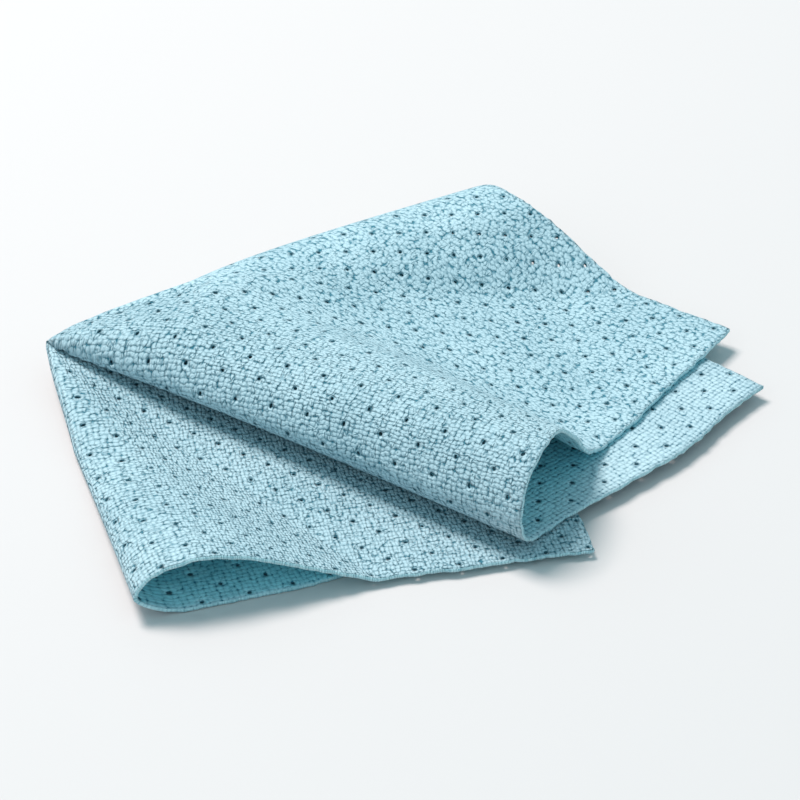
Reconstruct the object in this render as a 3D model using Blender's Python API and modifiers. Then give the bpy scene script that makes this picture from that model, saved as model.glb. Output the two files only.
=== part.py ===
"""Perforated cleaning cloth, folded in quarters, as one thin solid in metres with +Z up.

The flat cloth is a grid in polar terms about the point where its folds meet.
Each row of FOLDS follows one line of the folded shape outwards from that point:
where it runs on the cloth, where it runs in plan, and how high it stands.
"""
import math

import bmesh
import bpy

CM = 0.01
THICKNESS = 0.0014
CELLS_ALONG, CELLS_ACROSS = 55, 51
ROLL_SIDE, LOOP_SIDE, HALF_WIDTH = 22.2, 16.2, 18.3
CENTRE_X, CENTRE_Y, CENTRE_HEIGHT = -14.1, 2.4, 1.4
TIP_SHIFT, TIP_REACH = -0.35, 4.0
TIP_POWER = 0.7
FLOOR = 0.07
RADII = (6.0, 13.0, 22.0)

# cloth angle and plan azimuth of each fold, degrees
INNER, ROLL, OUTER = (-71.5, 28.5), (0.0, -33.0), (75.0, 31.0)

# fold, offset on the cloth, offset in plan, height (each near, middle, rim, in cm), reach
FOLDS = (
    (INNER, (-1.6, -2.2, -2.2), (-2.6, -2.2, -2.2), (0.48, 0.31, 0.30), 1.0),
    (INNER, (-0.7, -1.0, -1.0), (-2.2, -1.1, -1.1), (0.50, 0.33, 0.32), 1.0),
    (INNER, (0.0, 0.0, 0.0), (-2.0, -0.5, -0.5), (0.95, 0.76, 0.75), 1.0),
    (INNER, (0.7, 1.0, 1.0), (-2.2, -1.1, -1.1), (1.40, 1.15, 1.10), 1.0),
    (INNER, (1.6, 2.2, 2.2), (-2.6, -2.2, -2.2), (1.20, 0.86, 0.80), 1.0),
    (INNER, (2.4, 3.4, 3.4), (-2.9, -3.4, -3.4), (1.05, 0.65, 0.56), 1.0),
    (ROLL, (-2.6, -4.4, -5.4), (1.2, 1.5, 1.0), (1.05, 0.68, 0.57), 1.0),
    (ROLL, (-2.0, -3.3, -4.2), (0.1, 0.1, -0.4), (1.2, 1.0, 0.95), 1.01),
    (ROLL, (-1.25, -2.35, -3.15), (-0.3, -0.55, -1.0), (1.8, 1.85, 1.95), 1.02),
    (ROLL, (-0.4, -0.9, -1.5), (0.15, 0.1, -0.35), (2.9, 3.25, 3.5), 1.02),
    (ROLL, (0.6, 0.75, 0.1), (1.05, 1.55, 1.05), (3.6, 3.85, 4.25), 1.02),
    (ROLL, (1.4, 2.7, 1.75), (1.8, 3.2, 2.5), (3.7, 3.8, 4.0), 1.01),
    (ROLL, (2.0, 4.2, 3.35), (2.4, 4.45, 3.75), (3.6, 3.3, 3.0), 1.01),
    (ROLL, (2.5, 5.6, 5.4), (2.9, 5.5, 5.15), (3.5, 2.7, 1.5), 1.0),
    (ROLL, (2.9, 6.8, 7.9), (3.2, 6.4, 7.1), (3.5, 2.5, 0.80), 0.985),
    (OUTER, (-3.4, -6.8, -11.0), (-2.1, -4.6, -7.5), (3.3, 2.75, 0.90), 0.97),
    (OUTER, (-3.0, -5.4, -8.0), (-1.9, -3.5, -4.9), (3.35, 3.2, 2.6), 0.98),
    (OUTER, (-2.6, -4.2, -6.0), (-1.6, -2.4, -3.3), (3.4, 3.4, 3.4), 0.99),
    (OUTER, (-2.1, -3.4, -4.4), (-1.0, -1.4, -1.7), (3.0, 3.35, 3.5), 1.0),
    (OUTER, (-1.4, -2.4, -3.0), (-0.2, -0.1, -0.3), (2.3, 2.75, 2.8), 1.0),
    (OUTER, (-0.7, -1.2, -1.5), (0.2, 0.5, 0.5), (1.2, 1.35, 1.3), 1.0),
    (OUTER, (0.0, 0.0, 0.0), (0.1, 0.1, 0.2), (0.25, 0.12, FLOOR), 1.0),
)

# cloth angle, plan azimuth (near, middle, rim), height (near, middle, rim), reach
FACES = (
    (-148.5, (-47.5, -47.5, -47.5), (0.48, 0.32, 0.30), 1.03),
    (-135.0, (-34.0, -34.0, -34.0), (0.48, 0.31, 0.30), 1.02),
    (-105.0, (-4.6, -4.6, -4.6), (0.48, 0.31, 0.30), 1.0),
    (-38.0, (-5.4, -5.4, -5.4), (1.0, 0.65, 0.55), 1.0),
    (-30.0, (-15.0, -14.2, -13.8), (1.03, 0.66, 0.56), 1.02),
    (95.0, (12.0, 12.0, 12.0), (0.09, FLOOR, FLOOR), 1.0),
    (120.0, (-15.0, -15.0, -15.0), (FLOOR, FLOOR, FLOOR), 0.98),
    (133.0, (-29.5, -29.5, -29.5), (FLOOR, FLOOR, FLOOR), 0.955),
    (165.0, (-58.5, -58.0, -58.0), (FLOOR, FLOOR, FLOOR), 1.05),
    (175.5, (-71.5, -69.5, -68.5), (0.09, 0.09, 0.09), 1.055),
    (180.0, (-77.5, -75.2, -74.6), (0.4, 0.8, 1.3), 1.055),
    (185.5, (-73.5, -71.3, -70.3), (0.8, 1.65, 2.8), 1.055),
    (189.0, (-69.0, -67.0, -66.0), (0.85, 1.8, 3.05), 1.055),
    (194.5, (-61.5, -61.5, -61.5), (0.75, 1.6, 2.65), 1.055),
    (204.0, (-53.5, -53.5, -53.5), (0.60, 0.85, 1.35), 1.045),
    (211.5, (-47.5, -47.5, -47.5), (0.48, 0.32, 0.30), 1.03),
)


def guide_lines():
    """Every guide line as (cloth angles, plan azimuths, heights, reaches), in order round the centre."""
    lines = []
    for angle, azimuths, heights, reach in FACES:
        lines.append(((angle,) * 3, azimuths, heights, (reach,) * 3))
    for (angle, azimuth), cloth, plan, heights, reach in FOLDS:
        angles, azimuths = [], []
        for radius, offset, shift in zip(RADII, cloth, plan):
            along = math.sqrt(radius**2 - offset**2)
            angles.append(angle + math.degrees(math.asin(offset / radius)))
            azimuths.append(azimuth + math.degrees(math.atan2(shift, along)))
        lines.append((tuple(angles), tuple(azimuths), heights, (reach,) * 3))
    return sorted(lines, key=lambda line: line[0][1])


def weights(radius):
    """Share of the near, middle and rim columns at a radius, quadratic in 1 / radius."""
    q = 1.0 / radius
    a, b, c = (1.0 / known for known in RADII)
    near = (q - b) * (q - c) / ((a - b) * (a - c))
    middle = (q - a) * (q - c) / ((b - a) * (b - c))
    return near, middle, 1.0 - near - middle


def blend(columns, shares):
    """Weighted sum of three columns."""
    return sum(value * share for value, share in zip(columns, shares))


def tangents(xs, ys):
    """Slopes that keep a curve through the points monotone between them."""
    steps = [b - a for a, b in zip(xs, xs[1:])]
    rises = [(b - a) / step for a, b, step in zip(ys, ys[1:], steps)]
    slopes = [rises[0]]
    for i in range(1, len(xs) - 1):
        before, after = rises[i - 1], rises[i]
        if before * after <= 0.0:
            slopes.append(0.0)
            continue
        first = 2 * steps[i] + steps[i - 1]
        second = steps[i] + 2 * steps[i - 1]
        slopes.append((first + second) / (first / before + second / after))
    return slopes + [rises[-1]]


def curve(xs, ys, x):
    """Value at x of the smooth curve through the points."""
    slopes = tangents(xs, ys)
    i = max(j for j in range(len(xs) - 1) if j == 0 or xs[j] <= x)
    step = xs[i + 1] - xs[i]
    u = (x - xs[i]) / step
    start = (2 * u**3 - 3 * u**2 + 1) * ys[i] + (u**3 - 2 * u**2 + u) * step * slopes[i]
    return start + (3 * u**2 - 2 * u**3) * ys[i + 1] + (u**3 - u**2) * step * slopes[i + 1]


def folded(lines, s, t):
    """Place of the cloth point (s, t) in the folded shape, in cm."""
    radius = math.hypot(s, t)
    tip = TIP_SHIFT * math.exp(-((radius / TIP_REACH) ** 2))
    if radius < 1e-6:
        return CENTRE_X + tip, CENTRE_Y, CENTRE_HEIGHT
    angle = math.degrees(math.atan2(t, s))
    if angle < FACES[0][0]:
        angle += 360.0
    bounded = max(radius, RADII[0])
    wide = weights(bounded)
    high = weights(min(bounded, RADII[2]))
    angles = [blend(line[0], wide) for line in lines]
    azimuth = math.radians(curve(angles, [blend(line[1], wide) for line in lines], angle))
    height = curve(angles, [blend(line[2], high) for line in lines], angle)
    reach = radius * curve(angles, [line[3][0] for line in lines], angle)
    if radius < RADII[0]:
        height = CENTRE_HEIGHT + (height - CENTRE_HEIGHT) * (radius / RADII[0]) ** TIP_POWER
    return CENTRE_X + tip + reach * math.cos(azimuth), CENTRE_Y + reach * math.sin(azimuth), height


def cloth_mesh():
    """Grid of the flat cloth carried into the folded shape and centred over its own box."""
    lines = guide_lines()
    mesh = bmesh.new()
    bmesh.ops.create_grid(mesh, x_segments=CELLS_ALONG, y_segments=CELLS_ACROSS, size=1.0)
    for vert in mesh.verts:
        s = (ROLL_SIDE - LOOP_SIDE + vert.co.x * (ROLL_SIDE + LOOP_SIDE)) / 2
        vert.co = [CM * value for value in folded(lines, s, vert.co.y * HALF_WIDTH)]
    xs = [vert.co.x for vert in mesh.verts]
    ys = [vert.co.y for vert in mesh.verts]
    middle = ((min(xs) + max(xs)) / 2, (min(ys) + max(ys)) / 2, 0.0)
    bmesh.ops.translate(mesh, verts=mesh.verts, vec=[-value for value in middle])
    return mesh


def cloth_material():
    """Pale aqua coated fabric."""
    material = bpy.data.materials.new("aqua_fabric")
    material.use_nodes = True
    shader = material.node_tree.nodes["Principled BSDF"]
    shader.inputs["Base Color"].default_value = (0.36, 0.62, 0.68, 1.0)
    shader.inputs["Roughness"].default_value = 0.85
    return material


def main():
    """Build the cloth as one thickened sheet."""
    for old in list(bpy.data.objects):
        bpy.data.objects.remove(old, do_unlink=True)
    mesh = cloth_mesh()
    data = bpy.data.meshes.new("cloth")
    mesh.to_mesh(data)
    mesh.free()
    data.materials.append(cloth_material())
    group = bpy.data.collections.new("cleaning_cloth")
    bpy.context.scene.collection.children.link(group)
    cloth = bpy.data.objects.new("cloth", data)
    group.objects.link(cloth)
    sheet = cloth.modifiers.new("thickness", "SOLIDIFY")
    sheet.thickness = THICKNESS
    sheet.offset = 0.0
    sheet.use_even_offset = False


main()
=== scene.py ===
"""Perforated aqua cleaning cloth, folded in quarters, on a pale floor.

The cloth is a flat grid with its rows of holes, carried into the folded shape and thickened.
"""
from __future__ import annotations

import logging
import math
import random
from dataclasses import dataclass
from enum import Enum, IntEnum

import bmesh
import bpy
import numpy as np
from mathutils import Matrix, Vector, noise

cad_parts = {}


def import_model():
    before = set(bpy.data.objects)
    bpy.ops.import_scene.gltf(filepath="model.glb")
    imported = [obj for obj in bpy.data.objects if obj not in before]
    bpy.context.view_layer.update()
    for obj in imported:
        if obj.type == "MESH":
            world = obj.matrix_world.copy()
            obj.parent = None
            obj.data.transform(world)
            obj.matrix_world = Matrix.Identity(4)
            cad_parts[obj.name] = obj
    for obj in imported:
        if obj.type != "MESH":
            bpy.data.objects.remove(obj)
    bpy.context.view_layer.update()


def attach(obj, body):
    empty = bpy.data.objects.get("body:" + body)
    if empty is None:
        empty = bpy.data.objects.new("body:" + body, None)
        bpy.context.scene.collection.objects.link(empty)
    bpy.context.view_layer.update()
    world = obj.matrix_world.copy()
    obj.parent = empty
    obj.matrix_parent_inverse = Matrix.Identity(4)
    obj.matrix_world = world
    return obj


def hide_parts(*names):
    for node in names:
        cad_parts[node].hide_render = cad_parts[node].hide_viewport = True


LOG = logging.getLogger("folded_cloth")
CM = 0.01
MM_PER_CM = 10.0
MM_PER_M = 1000.0
LEAST_RADIUS = 1e-4
HOLE_CORNERS = 8
Three = tuple[float, float, float]

# where the folds meet, on the cloth's own map, in metres
MAP_CENTRE = 0.5
# mm across the cloth from there: plain before the first, creped after the second
CREPE_EDGE = (-10.0, 60.0)
# size of the cracks' cells along the cloth and across it, in mm
CRACK_CELL = (2.3, 4.6)
# how far noise pushes stitches and cracks out of line, in mm
DRIFT = (1.3, 1.3, 0.0)
# how much the broad noise counts in the colour
BROAD_SHARE = 0.35


class Fold(Enum):
    """Folds of the cloth, each with its angle on the flat cloth and its azimuth in plan, in degrees."""

    INNER = (-71.5, 28.5)
    ROLL = (0.0, -33.0)
    OUTER = (75.0, 31.0)


class Side(IntEnum):
    """Material slots of the cloth."""

    COATED = 0
    KNIT = 1
    CUT_EDGE = 2
    COATED_ROUND_HOLE = 3
    KNIT_ROUND_HOLE = 4
    # slot of the hole walls, which carry painted shade
    HOLE_WALL_SHADE = 5


@dataclass(frozen=True)
class FoldRow:
    """One line of a fold's cross-section, in cm near the tip, midway and at the rim.

    Attributes:
        fold: Fold the line runs beside.
        cloth: Offset from the fold on the flat cloth.
        plan: Offset from the fold in plan.
        height: Height of the line.
        reach: Share of the flat radius that is left in plan.
    """

    fold: Fold
    cloth: Three
    plan: Three
    height: Three
    reach: float

    def line(self, radii: Three) -> tuple[Three, Three, Three, float]:
        """Turn the offsets into angles.

        Args:
            radii: Radii that the three columns stand for.

        Returns:
            Cloth angles, plan azimuths, heights and reach.
        """
        angle, azimuth = self.fold.value
        angles = tuple(angle + math.degrees(math.asin(c / r)) for c, r in zip(self.cloth, radii))
        azimuths = tuple(
            azimuth + math.degrees(math.atan2(p, math.sqrt(r**2 - c**2)))
            for p, c, r in zip(self.plan, self.cloth, radii)
        )
        return angles, azimuths, self.height, self.reach


@dataclass(frozen=True)
class FaceRow:
    """One line on a flat quarter or on the front loop; angles in degrees, heights in cm.

    Attributes:
        angle: Angle on the flat cloth.
        azimuth: Azimuths in plan, near the tip, midway and at the rim.
        height: Heights of the line at the same places.
        reach: Share of the flat radius that is left in plan.
    """

    angle: float
    azimuth: Three
    height: Three
    reach: float

    def line(self, radii: Three) -> tuple[Three, Three, Three, float]:
        """Repeat the cloth angle for each radius.

        Args:
            radii: Radii that the three columns stand for.

        Returns:
            Cloth angles, plan azimuths, heights and reach.
        """
        return (self.angle,) * len(radii), self.azimuth, self.height, self.reach


FLOOR = 0.07
FOLD_ROWS = (
    FoldRow(Fold.INNER, (-1.6, -2.2, -2.2), (-2.6, -2.2, -2.2), (0.48, 0.31, 0.30), 1.0),
    FoldRow(Fold.INNER, (-0.7, -1.0, -1.0), (-2.2, -1.1, -1.1), (0.50, 0.33, 0.32), 1.0),
    FoldRow(Fold.INNER, (0.0, 0.0, 0.0), (-2.0, -0.5, -0.5), (0.95, 0.76, 0.75), 1.0),
    FoldRow(Fold.INNER, (0.7, 1.0, 1.0), (-2.2, -1.1, -1.1), (1.40, 1.15, 1.10), 1.0),
    FoldRow(Fold.INNER, (1.6, 2.2, 2.2), (-2.6, -2.2, -2.2), (1.20, 0.86, 0.80), 1.0),
    FoldRow(Fold.INNER, (2.4, 3.4, 3.4), (-2.9, -3.4, -3.4), (1.05, 0.65, 0.56), 1.0),
    FoldRow(Fold.ROLL, (-2.6, -4.4, -5.4), (1.2, 1.5, 1.0), (1.05, 0.68, 0.57), 1.0),
    FoldRow(Fold.ROLL, (-2.0, -3.3, -4.2), (0.1, 0.1, -0.4), (1.2, 1.0, 0.95), 1.01),
    FoldRow(Fold.ROLL, (-1.25, -2.35, -3.15), (-0.3, -0.55, -1.0), (1.8, 1.85, 1.95), 1.02),
    FoldRow(Fold.ROLL, (-0.4, -0.9, -1.5), (0.15, 0.1, -0.35), (2.9, 3.25, 3.5), 1.02),
    FoldRow(Fold.ROLL, (0.6, 0.75, 0.1), (1.05, 1.55, 1.05), (3.6, 3.85, 4.25), 1.02),
    FoldRow(Fold.ROLL, (1.4, 2.7, 1.75), (1.8, 3.2, 2.5), (3.7, 3.8, 4.0), 1.01),
    FoldRow(Fold.ROLL, (2.0, 4.2, 3.35), (2.4, 4.45, 3.75), (3.6, 3.3, 3.0), 1.01),
    FoldRow(Fold.ROLL, (2.5, 5.6, 5.4), (2.9, 5.5, 5.15), (3.5, 2.7, 1.5), 1.0),
    FoldRow(Fold.ROLL, (2.9, 6.8, 7.9), (3.2, 6.4, 7.1), (3.5, 2.5, 0.80), 0.985),
    FoldRow(Fold.OUTER, (-3.4, -6.8, -11.0), (-2.1, -4.6, -7.5), (3.3, 2.75, 0.90), 0.97),
    FoldRow(Fold.OUTER, (-3.0, -5.4, -8.0), (-1.9, -3.5, -4.9), (3.35, 3.2, 2.6), 0.98),
    FoldRow(Fold.OUTER, (-2.6, -4.2, -6.0), (-1.6, -2.4, -3.3), (3.4, 3.4, 3.4), 0.99),
    FoldRow(Fold.OUTER, (-2.1, -3.4, -4.4), (-1.0, -1.4, -1.7), (3.0, 3.35, 3.5), 1.0),
    FoldRow(Fold.OUTER, (-1.4, -2.4, -3.0), (-0.2, -0.1, -0.3), (2.3, 2.75, 2.8), 1.0),
    FoldRow(Fold.OUTER, (-0.7, -1.2, -1.5), (0.2, 0.5, 0.5), (1.2, 1.35, 1.3), 1.0),
    FoldRow(Fold.OUTER, (0.0, 0.0, 0.0), (0.1, 0.1, 0.2), (0.25, 0.12, FLOOR), 1.0),
)
FACE_ROWS = (
    FaceRow(-148.5, (-47.5, -47.5, -47.5), (0.48, 0.32, 0.30), 1.03),
    FaceRow(-135.0, (-34.0, -34.0, -34.0), (0.48, 0.31, 0.30), 1.02),
    FaceRow(-105.0, (-4.6, -4.6, -4.6), (0.48, 0.31, 0.30), 1.0),
    FaceRow(-38.0, (-5.4, -5.4, -5.4), (1.0, 0.65, 0.55), 1.0),
    FaceRow(-30.0, (-15.0, -14.2, -13.8), (1.03, 0.66, 0.56), 1.02),
    FaceRow(95.0, (12.0, 12.0, 12.0), (0.09, FLOOR, FLOOR), 1.0),
    FaceRow(120.0, (-15.0, -15.0, -15.0), (FLOOR, FLOOR, FLOOR), 0.98),
    FaceRow(133.0, (-29.5, -29.5, -29.5), (FLOOR, FLOOR, FLOOR), 0.955),
    FaceRow(165.0, (-58.5, -58.0, -58.0), (FLOOR, FLOOR, FLOOR), 1.05),
    FaceRow(175.5, (-71.5, -69.5, -68.5), (0.09, 0.09, 0.09), 1.055),
    FaceRow(180.0, (-77.5, -75.2, -74.6), (0.4, 0.8, 1.3), 1.055),
    FaceRow(185.5, (-73.5, -71.3, -70.3), (0.8, 1.65, 2.8), 1.055),
    FaceRow(189.0, (-69.0, -67.0, -66.0), (0.85, 1.8, 3.05), 1.055),
    FaceRow(194.5, (-61.5, -61.5, -61.5), (0.75, 1.6, 2.65), 1.055),
    FaceRow(204.0, (-53.5, -53.5, -53.5), (0.60, 0.85, 1.35), 1.045),
    FaceRow(211.5, (-47.5, -47.5, -47.5), (0.48, 0.32, 0.30), 1.03),
)


@dataclass
class FoldedShape:
    """Carries points of the flat cloth, measured from the point where its folds meet, into place.

    Attributes:
        radii: Flat distances that the columns near the tip, midway and at the rim stand for, in cm.
        centre: Place of the fold point in plan, and its height, in cm.
        tip_shift: How far the fold point is moved along +X, in cm.
        tip_reach: Flat distance over which that move fades, in cm.
        tip_power: Power of the distance with which heights grow away from the fold point's.
        origin: Place of the frame's origin in plan, in cm.
    """

    radii: Three = (6.0, 13.0, 22.0)
    centre: Three = (-14.1, 2.4, 1.4)
    tip_shift: float = -0.35
    tip_reach: float = 4.0
    tip_power: float = 0.7
    origin: tuple[float, float] = (0.2695, -0.6326)

    def __post_init__(self) -> None:
        """Sort the guide lines round the centre and stack their columns."""
        lines = [row.line(self.radii) for row in FOLD_ROWS + FACE_ROWS]
        lines.sort(key=lambda line: line[0][1])
        self.angles = np.array([line[0] for line in lines])
        self.azimuths = np.array([line[1] for line in lines])
        self.heights = np.array([line[2] for line in lines])
        self.reaches = np.array([line[3] for line in lines])

    def shares(self, radius: np.ndarray) -> np.ndarray:
        """Weigh the near, middle and rim columns, quadratic in 1 / radius.

        Args:
            radius: Flat distances from the centre, in cm.

        Returns:
            Three shares for each distance.
        """
        q = 1.0 / radius
        a, b, c = (1.0 / known for known in self.radii)
        near = (q - b) * (q - c) / ((a - b) * (a - c))
        middle = (q - a) * (q - c) / ((b - a) * (b - c))
        return np.stack([near, middle, 1.0 - near - middle], axis=1)

    @staticmethod
    def curve(xs: np.ndarray, ys: np.ndarray, x: np.ndarray) -> np.ndarray:
        """Follow the smooth monotone curve through each row of points.

        Args:
            xs: Places of the points, one row for each value of x.
            ys: Values there.
            x: Where to read each curve.

        Returns:
            One value for each x.
        """
        steps = np.diff(xs, axis=1)
        rises = np.diff(ys, axis=1) / steps
        before, after = rises[:, :-1], rises[:, 1:]
        first = 2 * steps[:, 1:] + steps[:, :-1]
        second = steps[:, 1:] + 2 * steps[:, :-1]
        same = before * after > 0
        safe_before, safe_after = np.where(same, before, 1.0), np.where(same, after, 1.0)
        inner = np.where(same, (first + second) / (first / safe_before + second / safe_after), 0.0)
        slopes = np.concatenate([rises[:, :1], inner, rises[:, -1:]], axis=1)
        rows = np.arange(len(x))
        i = np.clip((xs <= x[:, None]).sum(axis=1) - 1, 0, xs.shape[1] - 2)
        step = steps[rows, i]
        u = (x - xs[rows, i]) / step
        start = (2 * u**3 - 3 * u**2 + 1) * ys[rows, i] + (u**3 - 2 * u**2 + u) * step * slopes[rows, i]
        return start + (3 * u**2 - 2 * u**3) * ys[rows, i + 1] + (u**3 - u**2) * step * slopes[rows, i + 1]

    def place(self, flat: np.ndarray) -> np.ndarray:
        """Fold the cloth.

        Args:
            flat: Points (s, t) of the flat cloth, in cm.

        Returns:
            Their places in the row frame, in metres.
        """
        radius = np.maximum(np.hypot(flat[:, 0], flat[:, 1]), LEAST_RADIUS)
        angle = np.degrees(np.arctan2(flat[:, 1], flat[:, 0]))
        angle = np.where(angle < FACE_ROWS[0].angle, angle + 360.0, angle)
        bounded = np.maximum(radius, self.radii[0])
        wide = self.shares(bounded)
        high = self.shares(np.minimum(bounded, self.radii[-1]))
        angles = wide @ self.angles.T
        azimuth = np.radians(self.curve(angles, wide @ self.azimuths.T, angle))
        height = self.curve(angles, high @ self.heights.T, angle)
        reach = radius * self.curve(angles, np.tile(self.reaches, (len(angle), 1)), angle)
        rise = (np.minimum(radius, self.radii[0]) / self.radii[0]) ** self.tip_power
        height = self.centre[2] + (height - self.centre[2]) * rise
        tip = self.tip_shift * np.exp(-((radius / self.tip_reach) ** 2))
        x = self.centre[0] + tip + reach * np.cos(azimuth) - self.origin[0]
        y = self.centre[1] + reach * np.sin(azimuth) - self.origin[1]
        return np.stack([x, y, height], axis=1) * CM


class Shade:
    """Adds shader nodes to one material and links them."""

    def __init__(self, tree: bpy.types.NodeTree) -> None:
        """Keep the material's node tree."""
        self.tree = tree

    def feed(self, target: bpy.types.NodeSocket, value: object) -> None:
        """Link a socket to an input, or set the input's value.

        Args:
            target: Input to feed.
            value: Output socket, number, vector or colour.
        """
        if isinstance(value, bpy.types.NodeSocket):
            self.tree.links.new(value, target)
        else:
            target.default_value = value

    def add(self, kind: str, inputs: dict[str, object] | None = None, **settings: object) -> bpy.types.Node:
        """Add a node.

        Args:
            kind: Node type, without its ShaderNode prefix.
            inputs: Values or sockets for its inputs, by name.
            **settings: Attributes of the node.

        Returns:
            The new node.
        """
        made = self.tree.nodes.new("ShaderNode" + kind)
        for key, value in settings.items():
            setattr(made, key, value)
        for key, value in (inputs or {}).items():
            self.feed(made.inputs[key], value)
        return made

    def math(self, operation: str, *values: object) -> bpy.types.NodeSocket:
        """Combine numbers or sockets.

        Args:
            operation: Name of the math operation.
            *values: Its operands, in order.

        Returns:
            The result.
        """
        made = self.add("Math", operation=operation)
        for target, value in zip(made.inputs, values):
            self.feed(target, value)
        return made.outputs[0]

    def ease(
        self, value: object, start: float, end: float, low: float = 0.0, high: float = 1.0
    ) -> bpy.types.NodeSocket:
        """Map a value smoothly from one range to another.

        Args:
            value: Value to map.
            start: Value that gives low.
            end: Value that gives high.
            low: Result at the start.
            high: Result at the end.

        Returns:
            The mapped value.
        """
        inputs = {"Value": value, "From Min": start, "From Max": end, "To Min": low, "To Max": high}
        return self.add("MapRange", inputs, interpolation_type="SMOOTHSTEP").outputs[0]

    def between(self, mask: bpy.types.NodeSocket, low: float, high: float) -> bpy.types.NodeSocket:
        """Go from the low number to the high one as the mask goes from 0 to 1."""
        return self.math("MULTIPLY_ADD", mask, high - low, low)

    def centred(self, value: bpy.types.NodeSocket) -> bpy.types.NodeSocket:
        """Shift a noise from 0 to 1 so that it varies about 0."""
        return self.math("SUBTRACT", value, 0.5)

    def mix(
        self, factor: bpy.types.NodeSocket, first: object, second: object, blend: str = "MIX"
    ) -> bpy.types.NodeSocket:
        """Mix two colours.

        Args:
            factor: Share of the second colour.
            first: First colour.
            second: Second colour.
            blend: How the second colour acts on the first.

        Returns:
            The mixed colour.
        """
        made = self.add("Mix", data_type="RGBA", blend_type=blend, clamp_factor=True)
        self.feed(made.inputs["Factor"], factor)
        colours = [socket for socket in made.inputs if socket.type == "RGBA"]
        for target, value in zip(colours, (first, second)):
            self.feed(target, value)
        return next(socket for socket in made.outputs if socket.type == "RGBA")

    def stretched(self, place: bpy.types.NodeSocket, cell: tuple[float, float]) -> bpy.types.NodeSocket:
        """Divide a place on the cloth by a cell's size.

        Args:
            place: Place in mm.
            cell: Length along the cloth and across it, in mm.

        Returns:
            Place counted in cells.
        """
        mapping = self.add("Mapping", {"Vector": place, "Scale": (1.0 / cell[0], 1.0 / cell[1], 1.0)})
        return mapping.outputs[0]

    def cells(self, place: bpy.types.NodeSocket, feature: str, randomness: object) -> bpy.types.NodeSocket:
        """Scatter irregular cells.

        Args:
            place: Place counted in cells.
            feature: Which distance to measure.
            randomness: How far the cells leave their grid.

        Returns:
            The distance.
        """
        inputs = {"Vector": place, "Scale": 1.0, "Randomness": randomness}
        made = self.add("TexVoronoi", inputs, voronoi_dimensions="2D", feature=feature)
        return made.outputs["Distance"]

    def noise(self, place: bpy.types.NodeSocket, scale: float, detail: float) -> bpy.types.Node:
        """Add a flat noise.

        Args:
            place: Place in mm.
            scale: Waves in each mm.
            detail: Octaves.

        Returns:
            The noise node.
        """
        inputs = {"Vector": place, "Scale": scale, "Detail": detail}
        return self.add("TexNoise", inputs, noise_dimensions="2D")


@dataclass(frozen=True)
class HoleRows:
    """Square lattice of the punched holes, seen from the material, in mm on the cloth's own map.

    Attributes:
        first: Place of one hole.
        pitch: Distance between neighbours, along a line at 45 degrees to the edges.
    """

    first: tuple[float, float]
    pitch: float

    def distance(self, shade: Shade, place: bpy.types.NodeSocket) -> bpy.types.NodeSocket:
        """Measure how far a place is from the nearest hole.

        Args:
            shade: Node tree to add to.
            place: Place in mm.

        Returns:
            Distance in mm.
        """
        inputs = {
            "Vector": place,
            "Location": (*self.first, 0.0),
            "Rotation": (0.0, 0.0, math.pi / 4),
            "Scale": (self.pitch, self.pitch, 1.0),
        }
        turned = shade.add("Mapping", inputs, vector_type="TEXTURE").outputs[0]
        return shade.math("MULTIPLY", shade.cells(turned, "F1", 0.0), self.pitch)


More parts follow.
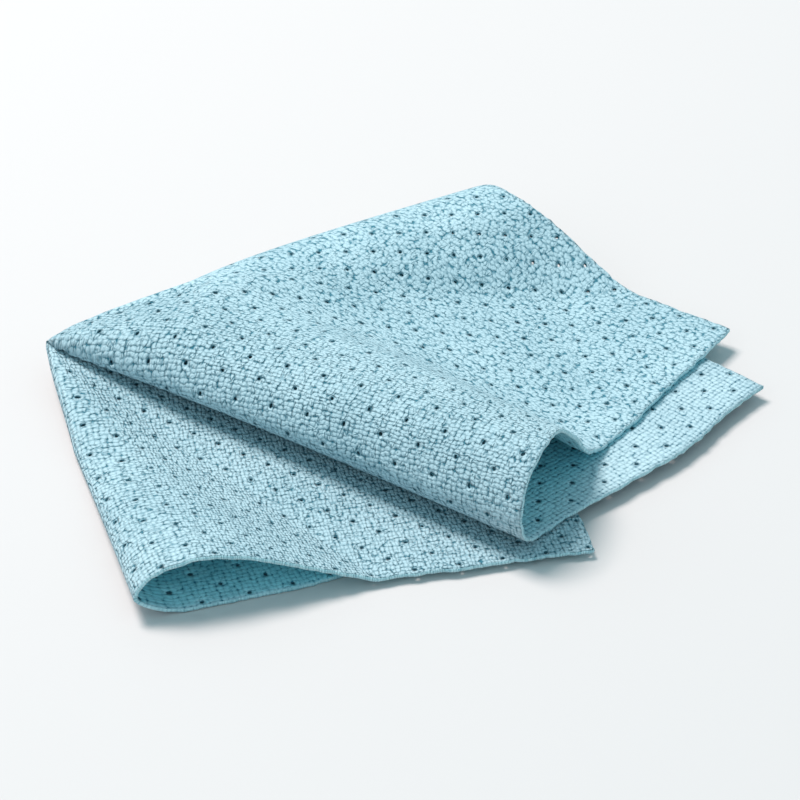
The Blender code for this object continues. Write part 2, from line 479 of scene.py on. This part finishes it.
@dataclass(frozen=True)
class Weave:
    """Masks that a finish is mixed from, as sockets of its material.

    Attributes:
        creped: 0 on the plain part of the cloth and 1 on the creped part.
        block: 1 on top of a stitch.
        pit: 1 in the pits between stitches.
        crack: 1 along the short cracks.
        grain: Fine noise.
        broad: Noise that varies over a few cm.
        hole: Distance from the nearest hole, in mm.
    """

    creped: bpy.types.NodeSocket
    block: bpy.types.NodeSocket
    pit: bpy.types.NodeSocket
    crack: bpy.types.NodeSocket
    grain: bpy.types.NodeSocket
    broad: bpy.types.NodeSocket
    hole: bpy.types.NodeSocket

    @classmethod
    def lay(
        cls, shade: Shade, cell: tuple[float, float], order: tuple[float, float], holes: HoleRows
    ) -> Weave:
        """Lay out the stitches, pits, cracks and noises over the flat cloth.

        Args:
            shade: Node tree to add to.
            cell: Length of a stitch along the cloth and across it, in mm.
            order: How far stitches leave their grid on the plain part and on the creped part.
            holes: Lattice of the punched holes.

        Returns:
            The masks.
        """
        flat = shade.add("UVMap", uv_map="flat").outputs[0]
        scale = (MM_PER_M, MM_PER_M, 0.0)
        place = shade.add("Mapping", {"Vector": flat, "Scale": scale}).outputs[0]
        across = shade.add("SeparateXYZ", {"Vector": place}).outputs["Y"]
        creped = shade.ease(across, *(MAP_CENTRE * MM_PER_M + edge for edge in CREPE_EDGE))
        wander = shade.noise(place, scale=0.30, detail=2.0).outputs["Color"]
        drift = shade.add("VectorMath", operation="MULTIPLY_ADD")
        for target, value in zip(drift.inputs, (wander, DRIFT, place)):
            shade.feed(target, value)
        drifted = drift.outputs[0]

        stitch = shade.cells(shade.stretched(drifted, cell), "F1", shade.between(creped, *order))
        between = shade.ease(stitch, start=0.50, end=0.74)
        patches = shade.noise(place, scale=0.45, detail=1.0).outputs["Fac"]
        patchy = shade.ease(patches, start=0.36, end=0.62, low=0.25)
        edge = shade.cells(shade.stretched(drifted, CRACK_CELL), "DISTANCE_TO_EDGE", randomness=0.95)
        line = shade.ease(edge, start=0.02, end=0.13, low=1.0, high=0.0)
        breaks = shade.noise(place, scale=0.33, detail=2.0).outputs["Fac"]
        broken = shade.ease(breaks, start=0.48, end=0.62)
        return cls(
            creped=creped,
            block=shade.ease(stitch, start=0.18, end=0.66, low=1.0, high=0.0),
            pit=shade.math("MULTIPLY", between, patchy),
            crack=shade.math("MULTIPLY", line, broken),
            grain=shade.noise(place, scale=1.3, detail=3.0).outputs["Fac"],
            broad=shade.noise(place, scale=0.03, detail=2.0).outputs["Fac"],
            hole=holes.distance(shade, place),
        )


@dataclass(frozen=True)
class Shares:
    """How much each feature of the weave counts in the relief or in the colour.

    Attributes:
        grain: Share of the fine noise.
        pit: Share of the pits.
        crack: Share of the cracks.
        hole: Share of the dent round a hole in the relief; in the colour, share of the painted shade round
            a hole.
        ring: Distances from a hole's middle between which that share fades, in mm.
        plain: Strength of the stitches' relief, or of the pits and cracks in the colour, on the plain part.
        creped: The same on the creped part.
    """

    grain: float
    pit: float
    crack: float
    hole: float
    ring: tuple[float, float]
    plain: float
    creped: float


RELIEF = Shares(grain=0.67, pit=0.95, crack=0.90, hole=0.35, ring=(0.75, 1.7), plain=1.05, creped=0.55)
# in the colour, hole is the share of the painted shade round each hole
TONE = Shares(grain=0.55, pit=0.75, crack=0.55, hole=0.55, ring=(0.70, 1.15), plain=1.0, creped=0.8)


@dataclass(frozen=True)
class FabricFinish:
    """Colours and relief of one side of the cloth; lengths in mm.

    Attributes:
        name: Material name.
        high: Colour of raised yarn.
        low: Colour of the pits.
        cell: Length of a stitch along the cloth and across it.
        relief: Depth of the stitches.
        order: How far stitches leave their grid on the plain part and on the creped part.
        pits: Strength of the pits between stitches, in relief and colour.
        cracks: Strength of the short cracks, in relief and colour.
        shade_depth: Strength of the painted shade, a stronger teal, in hollows that the cloth's folds
            shelter.
        shade_tint: What the painted shade multiplies the colour by.
    """

    name: str
    high: Three
    low: Three
    cell: tuple[float, float]
    relief: float
    order: tuple[float, float]
    pits: float
    cracks: float
    shade_depth: float = 0.0
    shade_tint: Three = (0.76, 1.26, 1.27)

    def build(self, holes: HoleRows) -> bpy.types.Material:
        """Build the fabric, on the cloth's own flat coordinates.

        Args:
            holes: Lattice of the punched holes.

        Returns:
            The material.
        """
        material = bpy.data.materials.new(self.name)
        material.use_nodes = True
        shader = material.node_tree.nodes["Principled BSDF"]
        shader.inputs["Roughness"].default_value = 0.85
        shader.inputs["Specular IOR Level"].default_value = 0.3
        shader.inputs["Sheen Weight"].default_value = 0.12
        shader.inputs["Sheen Roughness"].default_value = 0.6
        shade = Shade(material.node_tree)
        weave = Weave.lay(shade, self.cell, self.order, holes)
        shade.feed(shader.inputs["Normal"], self.raise_stitches(shade, weave))
        shade.feed(shader.inputs["Base Color"], self.paint_fold_shade(shade, self.colour(shade, weave)))
        return material

    def raise_stitches(self, shade: Shade, weave: Weave) -> bpy.types.NodeSocket:
        """Turn the weave into bumps.

        Args:
            shade: Node tree to add to.
            weave: Masks of the weave.

        Returns:
            The bumped normal.
        """
        height = shade.math("MULTIPLY_ADD", weave.grain, RELIEF.grain, weave.block)
        height = shade.math("MULTIPLY_ADD", weave.pit, -RELIEF.pit * self.pits, height)
        height = shade.math("MULTIPLY_ADD", weave.crack, -RELIEF.crack * self.cracks, height)
        strength = shade.between(weave.creped, RELIEF.plain * self.relief, RELIEF.creped * self.relief)
        height = shade.math("MULTIPLY", height, strength)
        dimple = shade.ease(weave.hole, *RELIEF.ring, low=1.0, high=0.0)
        height = shade.math("MULTIPLY_ADD", dimple, -RELIEF.hole, height)
        inputs = {"Strength": 1.0, "Distance": 1.0 / MM_PER_M, "Height": height}
        return shade.add("Bump", inputs).outputs[0]

    def colour(self, shade: Shade, weave: Weave) -> bpy.types.NodeSocket:
        """Turn the weave into a colour between the pits' and the raised yarn's, with painted shade round
        the holes.

        Args:
            shade: Node tree to add to.
            weave: Masks of the weave.

        Returns:
            The colour.
        """
        tone = shade.between(weave.block, low=0.62, high=0.92)
        tone = shade.math("MULTIPLY_ADD", shade.centred(weave.grain), TONE.grain, tone)
        tone = shade.math("MULTIPLY_ADD", shade.centred(weave.broad), BROAD_SHARE, tone)
        marks = shade.math("MULTIPLY", weave.pit, TONE.pit * self.pits)
        marks = shade.math("MULTIPLY_ADD", weave.crack, TONE.crack * self.cracks, marks)
        marks = shade.math("MULTIPLY", marks, shade.between(weave.creped, TONE.plain, TONE.creped))
        tone = shade.math("SUBTRACT", tone, marks)
        # painted shade: a dark ring round each hole, for the shade of the layers seen through it
        hole_shade = shade.ease(weave.hole, *TONE.ring, low=1.0, high=0.0)
        tone = shade.math("MULTIPLY_ADD", hole_shade, -TONE.hole, tone)
        return shade.mix(tone, (*self.low, 1.0), (*self.high, 1.0))

    def paint_fold_shade(self, shade: Shade, fabric: bpy.types.NodeSocket) -> bpy.types.NodeSocket:
        """Paint shade: turn the colour to a stronger teal where the cloth's own folds shelter it from the
        light.

        Args:
            shade: Node tree to add to.
            fabric: Colour in the open.

        Returns:
            The colour with painted shade in its hollows.
        """
        if not self.shade_depth:
            return fabric
        # painted shade: ambient occlusion darkens the colour in the folds' hollows, inside the roll and the
        # front loop
        open_sky = shade.add("AmbientOcclusion", {"Distance": 0.06}, samples=8).outputs["AO"]
        painted_shade = shade.ease(open_sky, start=0.15, end=0.75, low=self.shade_depth, high=0.0)
        return shade.mix(painted_shade, fabric, (*self.shade_tint, 1.0), blend="MULTIPLY")


COATED_FACE = FabricFinish(
    name="coated_aqua_face",
    high=(0.485, 0.635, 0.70),
    low=(0.025, 0.16, 0.225),
    cell=(2.2, 1.6),
    relief=0.42,
    order=(0.45, 0.85),
    pits=1.05,
    cracks=1.0,
)
KNIT_BACK = FabricFinish(
    name="knit_aqua_back",
    high=(0.52, 0.66, 0.72),
    low=(0.006, 0.12, 0.19),
    cell=(2.1, 2.1),
    relief=0.24,
    order=(0.30, 0.35),
    pits=1.0,
    cracks=0.5,
    # painted shade at full strength in the knit's sheltered hollows
    shade_depth=1.0,
)
CUT_EDGE = FabricFinish(
    name="cut_aqua_edge",
    high=(0.52, 0.76, 0.82),
    low=(0.16, 0.38, 0.45),
    cell=(1.2, 0.8),
    relief=0.25,
    order=(0.8, 0.8),
    pits=0.5,
    cracks=0.4,
)
# painted shade: the walls of the holes get a dark teal for the shade inside them, not the fabric's own
# colour
HOLE_WALL_SHADE = FabricFinish(
    name="hole_wall_painted_shade",
    high=(0.07, 0.22, 0.28),
    low=(0.02, 0.09, 0.13),
    cell=(0.8, 0.8),
    relief=0.2,
    order=(0.8, 0.8),
    pits=0.6,
    cracks=0.3,
)


@dataclass
class CleaningCloth:
    """The whole cloth: one rectangle with raw edges, rows of holes and a different face on each side.

    Attributes:
        shape: Folded shape.
        half_pitch: Half the distance between holes along a row, in cm.
        steps: Grid cells in a half pitch.
        cells: Grid cells along and across.
        first_hole: Grid column and row of the first hole from a corner.
        start: Corner of the grid on the flat cloth, in cm.
        hole_radius: Smallest and largest radius of a hole, in cm.
        hole_ring: Width of the ring of faces round a hole, in cells.
        stray: How far a hole's middle strays from the lattice, in cm.
        oval: How far a hole is from round.
        thickness: Thickness of the fabric, in metres.
        ragged: Depth of the waves and nicks in the cut edges, in cm.
        edge_band: Distance within which a vertex counts as on a cut edge, in cm.
        waves: Waves in each cm of edge, for the long waves and for the nicks.
        nicks: Size of the nicks, where the long waves have 1.
        slices: Heights at which the long waves and the nicks are read from the noise.
        seed: Start of the random draws for the holes.
    """

    shape: FoldedShape
    half_pitch: float = 0.835
    steps: int = 4
    cells: tuple[int, int] = (184, 175)
    first_hole: tuple[int, int] = (1, 1)
    start: tuple[float, float] = (-16.20, -18.33)
    hole_radius: tuple[float, float] = (0.066, 0.086)
    hole_ring: float = 0.55
    stray: float = 0.012
    oval: float = 0.16
    thickness: float = 0.0014
    ragged: float = 0.07
    edge_band: float = 0.05
    waves: tuple[float, float] = (0.9, 3.7)
    nicks: float = 1.1
    slices: tuple[float, float] = (0.5, 4.5)
    seed: int = 11

    @property
    def cell(self) -> float:
        """Side of one grid cell, in cm."""
        return self.half_pitch / self.steps

    def build(self) -> bpy.types.Object:
        """Make the cloth from a grid, with its holes, map, folds, thickness and finishes.

        Returns:
            The finished object.
        """
        mesh = bmesh.new()
        bmesh.ops.create_grid(mesh, x_segments=self.cells[0], y_segments=self.cells[1], size=1.0)
        self.lay_flat(mesh)
        self.punch_holes(mesh)
        self.fray_edges(mesh)
        self.map_flat(mesh)
        self.fold(mesh)
        data = bpy.data.meshes.new("cleaning_cloth")
        mesh.to_mesh(data)
        mesh.free()
        data.polygons.foreach_set("use_smooth", [True] * len(data.polygons))
        piece = bpy.data.objects.new("cleaning_cloth", data)
        bpy.context.scene.collection.objects.link(piece)
        sheet = piece.modifiers.new("thickness", "SOLIDIFY")
        sheet.thickness = self.thickness
        sheet.offset = 0.0
        sheet.use_even_offset = False
        sheet.material_offset = Side.KNIT.value
        sheet.material_offset_rim = Side.CUT_EDGE.value
        return piece

    def lay_flat(self, mesh: bmesh.types.BMesh) -> None:
        """Stretch the unit grid to the flat cloth in cm, its origin where the folds meet.

        Args:
            mesh: Grid from -1 to 1.
        """
        for vert in mesh.verts:
            for axis in (0, 1):
                step = (vert.co[axis] + 1) / 2 * self.cells[axis]
                vert.co[axis] = self.start[axis] + self.cell * step

    def steps_from_hole(self, vert: bmesh.types.BMVert, axis: int) -> int:
        """Count the grid steps from the first hole to a vertex along one axis."""
        return round((vert.co[axis] - self.start[axis]) / self.cell) - self.first_hole[axis]

    def punch_holes(self, mesh: bmesh.types.BMesh) -> None:
        """Open a round hole at every second node of the half-pitch lattice.

        Args:
            mesh: Flat cloth in cm.
        """
        centres = []
        for vert in mesh.verts:
            column, row = (self.steps_from_hole(vert, axis) for axis in (0, 1))
            if vert.is_boundary or column % self.steps or row % self.steps:
                continue
            if (column // self.steps + row // self.steps) % 2 == 0:
                centres.append(vert)
        bmesh.ops.dissolve_verts(mesh, verts=centres)
        patches = [face for face in mesh.faces if len(face.verts) == HOLE_CORNERS]
        ring = self.cell * self.hole_ring
        bmesh.ops.inset_individual(mesh, faces=patches, thickness=ring, use_even_offset=True)
        openings = [face for face in mesh.faces if len(face.verts) == HOLE_CORNERS]
        draw = random.Random(self.seed)
        for face in openings:
            middle = face.calc_center_median()
            middle.x += draw.uniform(-self.stray, self.stray)
            middle.y += draw.uniform(-self.stray, self.stray)
            radius = draw.uniform(*self.hole_radius)
            turn = draw.uniform(0.0, math.pi)
            for vert in face.verts:
                out = (vert.co - middle).normalized()
                stretch = 1.0 + self.oval * math.cos(2 * (math.atan2(out.y, out.x) - turn))
                vert.co = middle + out * radius * stretch
        for face in {near for gone in openings for edge in gone.edges for near in edge.link_faces}:
            if not any(edge.is_boundary for edge in face.edges):
                face.material_index = Side.COATED_ROUND_HOLE.value
        bmesh.ops.delete(mesh, geom=openings, context="FACES_ONLY")

    def fray_edges(self, mesh: bmesh.types.BMesh) -> None:
        """Make the cut edges wander and nick a little, in the plane of the flat cloth.

        Args:
            mesh: Flat cloth in cm.
        """
        low = Vector((self.start[0], self.start[1]))
        high = low + Vector(self.cells) * self.cell
        for vert in mesh.verts:
            if not vert.is_boundary:
                continue
            flat = Vector((vert.co.x, vert.co.y))
            if min(flat - low) > self.edge_band and min(high - flat) > self.edge_band:
                continue
            wave, nick = (
                noise.noise(Vector((flat.x * pace, flat.y * pace, height)))
                for pace, height in zip(self.waves, self.slices)
            )
            inward = Vector((0.0, 0.0, 0.0))
            for axis in (0, 1):
                if flat[axis] - low[axis] < self.edge_band:
                    inward[axis] = 1.0
                elif high[axis] - flat[axis] < self.edge_band:
                    inward[axis] = -1.0
            vert.co += inward * self.ragged * (wave + self.nicks * nick)

    def map_flat(self, mesh: bmesh.types.BMesh) -> None:
        """Keep the flat coordinates, in metres, as the cloth's own map.

        Args:
            mesh: Flat cloth in cm.
        """
        layer = mesh.loops.layers.uv.new("flat")
        for face in mesh.faces:
            for loop in face.loops:
                flat = loop.vert.co
                loop[layer].uv = (flat.x * CM + MAP_CENTRE, flat.y * CM + MAP_CENTRE)

    def fold(self, mesh: bmesh.types.BMesh) -> None:
        """Carry every vertex into the folded shape.

        Args:
            mesh: Flat cloth in cm.
        """
        places = self.shape.place(np.array([(vert.co.x, vert.co.y) for vert in mesh.verts]))
        for vert, place in zip(mesh.verts, places):
            vert.co = place

    def dress(self, piece: bpy.types.Object) -> None:
        """Args:
            piece: The cloth.
        """
        first = tuple(
            (self.start[axis] + self.cell * self.first_hole[axis]) * MM_PER_CM + MAP_CENTRE * MM_PER_M
            for axis in (0, 1)
        )
        holes = HoleRows(first, self.half_pitch * MM_PER_CM * math.sqrt(2))
        coated, knit = COATED_FACE.build(holes), KNIT_BACK.build(holes)
        finishes = {
            Side.COATED: coated,
            Side.KNIT: knit,
            Side.CUT_EDGE: CUT_EDGE.build(holes),
            Side.COATED_ROUND_HOLE: coated,
            Side.KNIT_ROUND_HOLE: knit,
            Side.HOLE_WALL_SHADE: HOLE_WALL_SHADE.build(holes),
        }
        for side in Side:
            piece.data.materials.append(finishes[side])
        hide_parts("cloth")
        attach(piece, "root")


@dataclass
class Studio:
    """Pale floor, soft light and the photographed view.

    Attributes:
        target: Point that the camera looks at, in metres.
        elevation: Camera angle above the horizon, in degrees.
        distance: Camera distance, in metres.
        lens: Focal length, in mm.
        sensor: Width of the sensor, in mm.
        floor_reach: Half the side of the floor, in metres.
        floor_drop: How far the floor lies under the cloth, in metres.
        floor_colour: Colour of the floor.
        room_colour: Colour of the light from all sides.
        room_strength: Strength of the light from all sides.
        lamp_colour: Colour of the lamps.
    """

    target: Three = (-0.0027, 0.01003, 0.0)
    elevation: float = 34.0
    distance: float = 1.25
    lens: float = 138.9
    sensor: float = 36.0
    floor_reach: float = 6.0
    floor_drop: float = 0.0003
    floor_colour: Three = (0.67, 0.60, 0.595)
    room_colour: Three = (0.54, 0.90, 1.0)
    room_strength: float = 0.66
    lamp_colour: Three = (1.0, 0.965, 0.93)

    def add_camera(self) -> None:
        """Place the camera in front of the cloth, looking along +Y and down."""
        data = bpy.data.cameras.new("camera")
        data.lens = self.lens
        data.sensor_width = self.sensor
        camera = bpy.data.objects.new("camera", data)
        bpy.context.scene.collection.objects.link(camera)
        tilt = math.radians(self.elevation)
        back = Vector((0.0, -math.cos(tilt), math.sin(tilt)))
        camera.location = Vector(self.target) + back * self.distance
        camera.rotation_euler = (math.pi / 2 - tilt, 0.0, 0.0)
        bpy.context.scene.camera = camera

    def add_floor(self) -> None:
        """Lay a wide pale floor just under the cloth."""
        mesh = bmesh.new()
        bmesh.ops.create_grid(mesh, x_segments=1, y_segments=1, size=self.floor_reach)
        data = bpy.data.meshes.new("floor")
        mesh.to_mesh(data)
        mesh.free()
        floor = bpy.data.objects.new("floor", data)
        floor.location.z = -self.floor_drop
        bpy.context.scene.collection.objects.link(floor)
        material = bpy.data.materials.new("pale_floor")
        material.use_nodes = True
        shader = material.node_tree.nodes["Principled BSDF"]
        shader.inputs["Base Color"].default_value = (*self.floor_colour, 1.0)
        shader.inputs["Roughness"].default_value = 1.0
        shader.inputs["Specular IOR Level"].default_value = 0.0
        data.materials.append(material)

    def add_area(self, name: str, place: Three, size: float, power: float) -> None:
        """Add one soft light that faces the cloth.

        Args:
            name: Name of the light.
            place: Where it stands, in metres.
            size: Side of the light, in metres.
            power: Power in watts.
        """
        data = bpy.data.lights.new(name, "AREA")
        data.size = size
        data.energy = power
        data.color = self.lamp_colour
        light = bpy.data.objects.new(name, data)
        light.location = place
        light.rotation_euler = Vector(place).to_track_quat("Z", "Y").to_euler()
        bpy.context.scene.collection.objects.link(light)

    def add_light(self) -> None:
        """Fill the room evenly, with a key light from the back left and a weak one in front."""
        world = bpy.data.worlds.new("room")
        world.use_nodes = True
        sky = world.node_tree.nodes["Background"]
        sky.inputs["Color"].default_value = (*self.room_colour, 1.0)
        sky.inputs["Strength"].default_value = self.room_strength
        bpy.context.scene.world = world
        self.add_area("key", (-1.1, 0.8, 2.9), size=1.2, power=114.0)
        self.add_area("front_fill", (-1.6, -2.2, 1.8), size=1.6, power=6.0)
        bpy.context.scene.view_settings.view_transform = "Standard"
        bpy.context.scene.view_settings.look = "None"

    def build(self) -> None:
        """Set up the camera, the floor and the lights."""
        self.add_camera()
        self.add_floor()
        self.add_light()


def main() -> None:
    """Build the cloth on its frame, then the studio."""
    logging.basicConfig(level=logging.INFO, format="%(name)s: %(message)s")
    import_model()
    cloth = CleaningCloth(FoldedShape())
    piece = cloth.build()
    cloth.dress(piece)
    LOG.info("%s: %d faces", piece.name, len(piece.data.polygons))
    Studio().build()
    LOG.info("studio ready")


if __name__ == "__main__":
    main()
